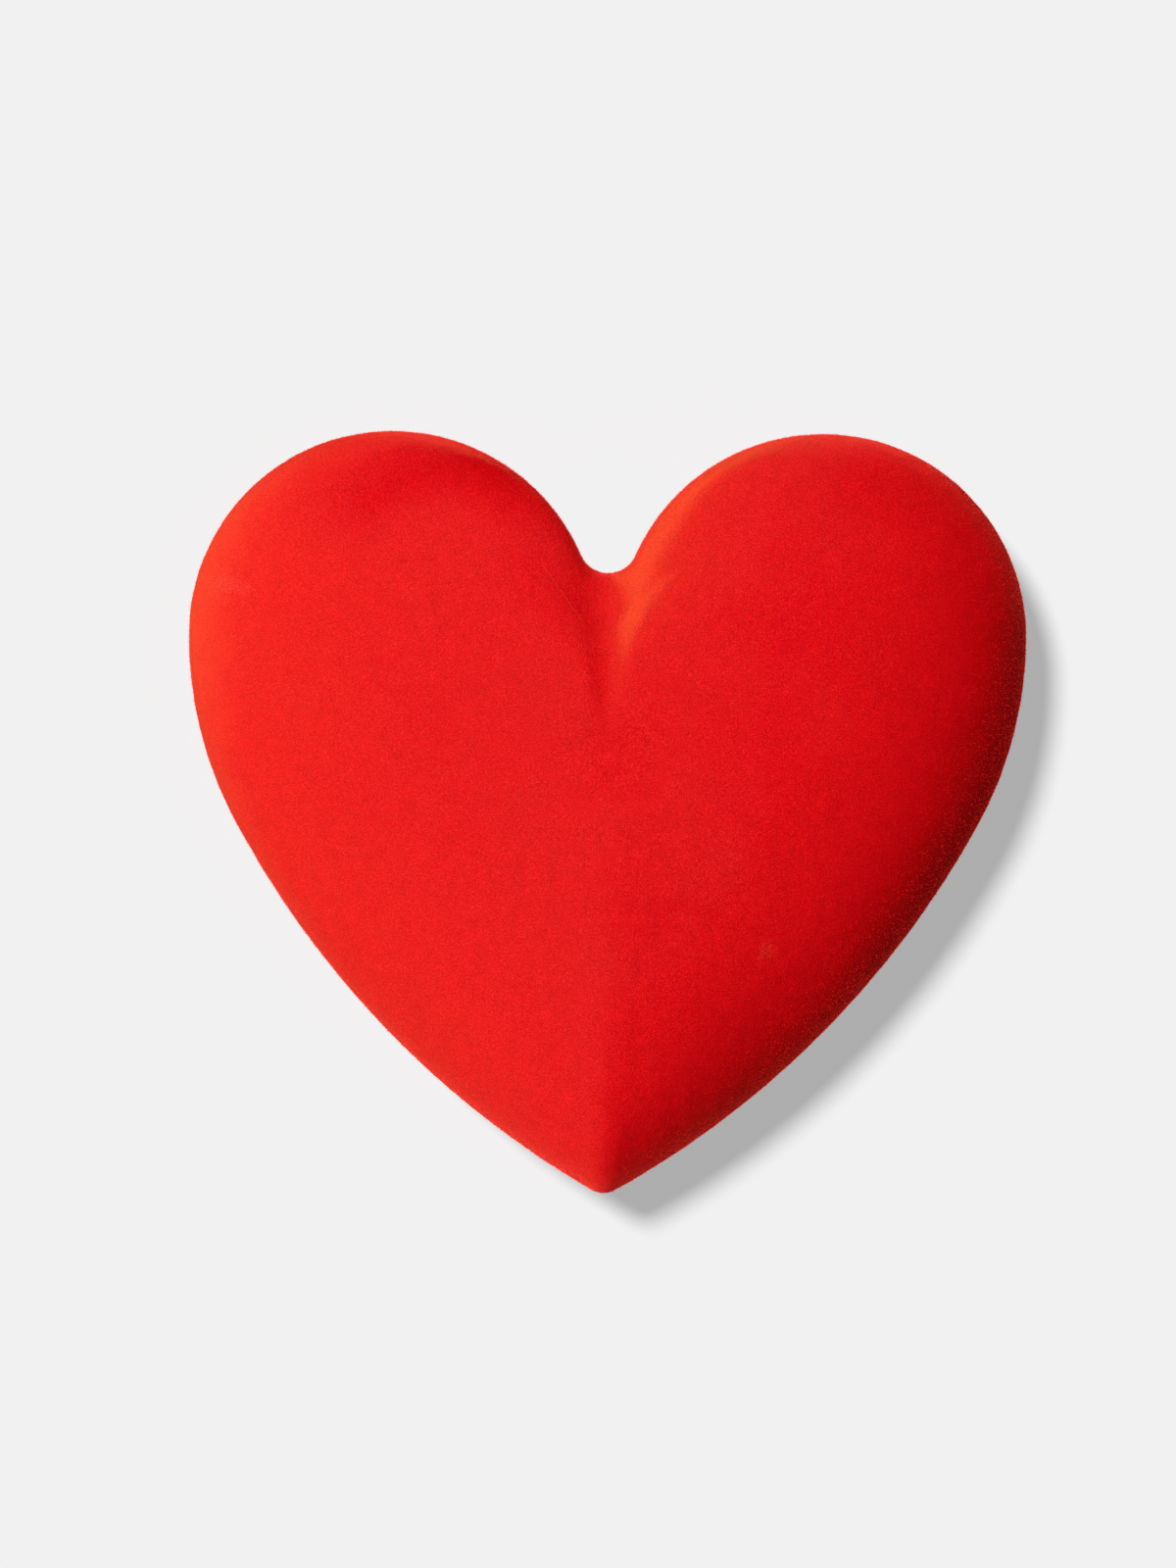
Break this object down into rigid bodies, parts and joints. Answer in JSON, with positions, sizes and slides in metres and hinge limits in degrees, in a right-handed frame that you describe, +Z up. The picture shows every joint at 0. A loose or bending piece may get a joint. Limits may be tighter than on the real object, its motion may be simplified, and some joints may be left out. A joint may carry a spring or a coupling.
{
  "type": "heart gift box",
  "caption": "Heart-shaped gift box of moulded paper pulp, flocked red outside, with a puffed lid that lifts off a card neck standing in a flat-bottomed tray.",
  "frame": {"origin": "on the surface the box stands on, under the middle of the heart's outline", "axes": "+Z up out of the lid, +Y from the heart's tip to its lobes, +X to the right across the lobes"},
  "size_m": [0.24, 0.2182, 0.0723],
  "materials": {
    "flock": "moulded paper pulp, coated outside with short upright red flock, velvety",
    "pulp": "moulded paper pulp, matt grey-brown, the bare inside of the shells",
    "lining_paper": "matt ivory lining paper",
    "card": "smooth ivory card",
    "tape_paper": "matt gummed paper tape",
    "sheet_paper": "matt dark red sheet"
  },
  "bodies": {
    "base": {"base_shell": "flock", "neck_collar": "card", "collar_tape": "tape_paper", "floor_card": "card", "bottom_sheet": "sheet_paper"},
    "lid": {"lid_shell": "flock", "lid_lining": "lining_paper"}
  },
  "joints": [
    {"name": "lid_lift", "type": "slide", "parent": "base", "child": "lid", "axis": [0, 0, 1], "range_m": [0, 0.12]}
  ]
}
